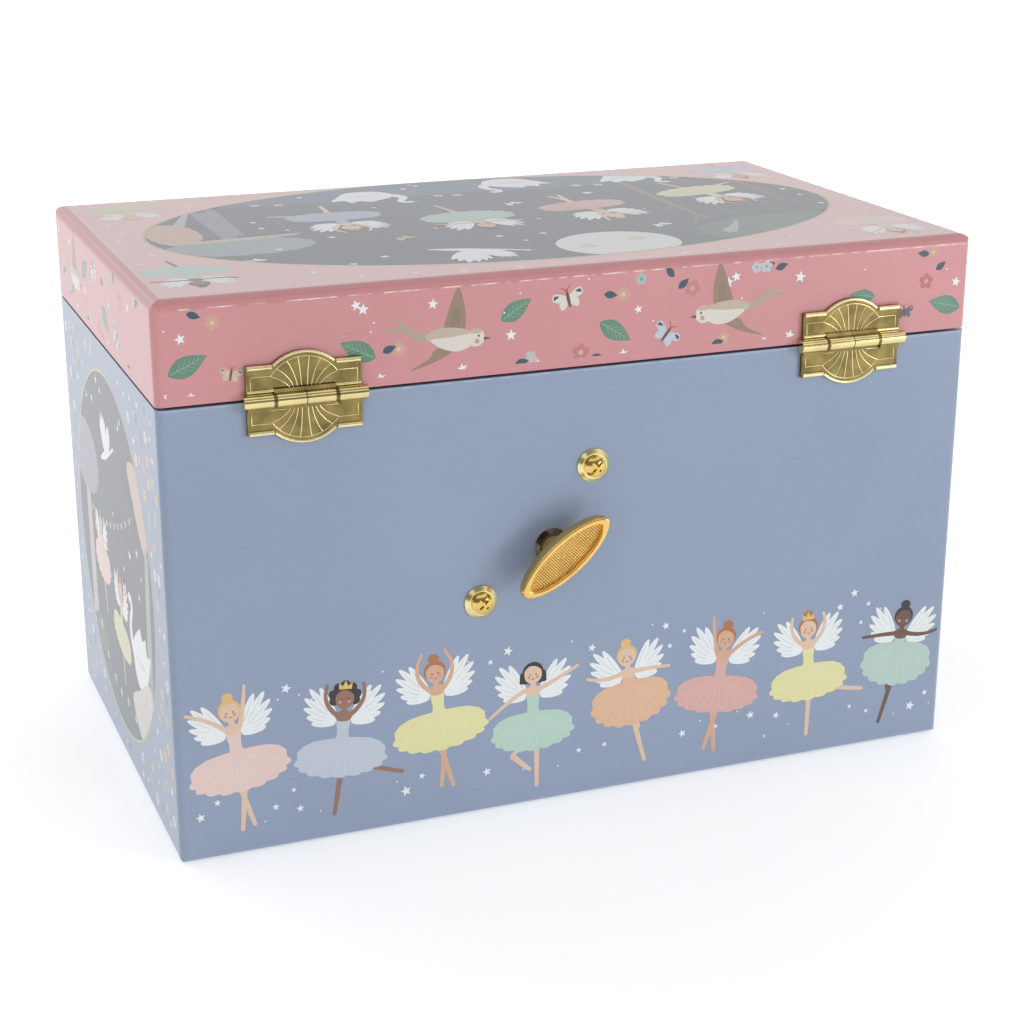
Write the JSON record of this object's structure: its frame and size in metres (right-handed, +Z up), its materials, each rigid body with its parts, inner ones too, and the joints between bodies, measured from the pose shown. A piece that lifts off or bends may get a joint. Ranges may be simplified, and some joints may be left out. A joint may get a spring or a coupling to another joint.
{
  "type": "musical jewellery box",
  "caption": "Rectangular musical jewellery box with a hinged lid, a drawer, a wind-up comb movement and a dancer that turns on a spindle.",
  "frame": {"origin": "centre of the underside, on the surface it stands on", "axes": "+Z up, +Y towards the hinges and the winding key, +X along the width"},
  "size_m": [0.2, 0.1398, 0.1316],
  "materials": {
    "felt_sheet": "pressed felt",
    "greyboard": "pressed fibreboard",
    "blue_print": "laminated print, semi-gloss",
    "pink_print": "laminated print, semi-gloss",
    "flocked_lining": "flocked paper",
    "cushion_satin": "satin",
    "drawer_board": "plain board",
    "hinge_brass": "stamped brass plate",
    "pin_steel": "drawn wire",
    "zinc_casting": "die-cast, matt",
    "pressed_steel": "pressed sheet",
    "screw_plate": "gold plated",
    "washer_brass": "pale brass plate",
    "key_gold": "orange-gold plate",
    "gear_brass": "cut brass",
    "white_nylon": "moulded",
    "figure_plastic": "painted",
    "tulle": "net",
    "frame_gold": "gold film",
    "mirror": "silvered"
  },
  "bodies": {
    "case": {"base_sheet": "felt_sheet", "case_base_panel": "greyboard", "case_back_panel": "greyboard", "case_front_panel": "greyboard", "case_left_panel": "greyboard", "case_right_panel": "greyboard", "drawer_shelf": "greyboard", "case_wrap": "blue_print", "tray_dividers": "greyboard", "tray_lining": "flocked_lining", "ring_cushion": "cushion_satin", "movement_housing": "greyboard", "stage_box": "greyboard", "spindle_bush": "gear_brass", "hinge_left_case_leaf": "hinge_brass", "hinge_right_case_leaf": "hinge_brass", "hinge_left_pin": "pin_steel", "hinge_right_pin": "pin_steel", "movement_bedplate": "zinc_casting", "spring_housing": "pressed_steel", "mainspring": "pressed_steel", "comb_base": "zinc_casting", "music_comb": "pressed_steel", "comb_screws": "pressed_steel", "cylinder_bearings": "zinc_casting", "governor_bracket": "zinc_casting", "movement_screws": "screw_plate", "cup_washers": "washer_brass"},
    "lid": {"lid_top_board": "greyboard", "lid_front_rail": "greyboard", "lid_back_rail": "greyboard", "lid_left_rail": "greyboard", "lid_right_rail": "greyboard", "lid_wrap": "pink_print", "lid_lining": "flocked_lining", "mirror_frame": "frame_gold", "mirror_glass": "mirror", "hinge_left_lid_leaf": "hinge_brass", "hinge_right_lid_leaf": "hinge_brass"},
    "drawer": {"drawer_front": "blue_print", "drawer_left_side": "drawer_board", "drawer_right_side": "drawer_board", "drawer_back": "drawer_board", "drawer_bottom": "flocked_lining", "drawer_knob": "key_gold", "knob_screw": "pin_steel"},
    "winder": {"winding_key": "key_gold", "winding_arbor": "pressed_steel", "great_wheel": "gear_brass"},
    "cylinder": {"cylinder_axle": "pressed_steel", "music_cylinder": "gear_brass", "cylinder_gears": "gear_brass"},
    "governor": {"governor_wheel": "gear_brass"},
    "fan": {"fly": "white_nylon"},
    "dancer": {"dancer_spindle": "pressed_steel", "dancer_gear": "white_nylon", "dancer_spring": "pin_steel", "dancer_figure": "figure_plastic", "dancer_tutu": "tulle"},
    "stop": {"stop_rod": "pin_steel"}
  },
  "joints": [
    {"name": "lid_hinge", "type": "hinge", "parent": "case", "child": "lid", "pos_m": [0, 0.0606, 0.1083], "axis": [-1, 0, 0], "range_deg": [0, 100]},
    {"name": "drawer_slide", "type": "slide", "parent": "case", "child": "drawer", "axis": [0, -1, 0], "range_m": [0, 0.08]},
    {"name": "key_turn", "type": "hinge", "parent": "case", "child": "winder", "pos_m": [0.009, 0.059, 0.066], "axis": [0, 1, 0], "continuous": true},
    {"name": "cylinder_spin", "type": "hinge", "parent": "case", "child": "cylinder", "pos_m": [0.009, 0.031, 0.066], "axis": [0, 0, 1], "continuous": true},
    {"name": "dancer_turn", "type": "hinge", "parent": "case", "child": "dancer", "pos_m": [0, 0.01314, 0.066], "axis": [0, 0, 1], "continuous": true},
    {"name": "governor_spin", "type": "hinge", "parent": "case", "child": "governor", "pos_m": [0.001, 0.031, 0.0858], "axis": [0, 0, 1], "continuous": true},
    {"name": "fly_spin", "type": "hinge", "parent": "case", "child": "fan", "pos_m": [0.001, 0.03755, 0.0858], "axis": [1, 0, 0], "continuous": true},
    {"name": "stop_rod_lift", "type": "slide", "parent": "case", "child": "stop", "axis": [0, 0, 1], "range_m": [0, 0.0026]}
  ],
  "couplings": [
    {"joint": "cylinder_spin", "follows": "key_turn", "ratio": 1.2222},
    {"joint": "dancer_turn", "follows": "key_turn", "ratio": -0.81481},
    {"joint": "governor_spin", "follows": "key_turn", "ratio": -3.6667},
    {"joint": "fly_spin", "follows": "key_turn", "ratio": -66},
    {"joint": "stop_rod_lift", "follows": "lid_hinge", "m_per_rad": 0.0014324}
  ]
}
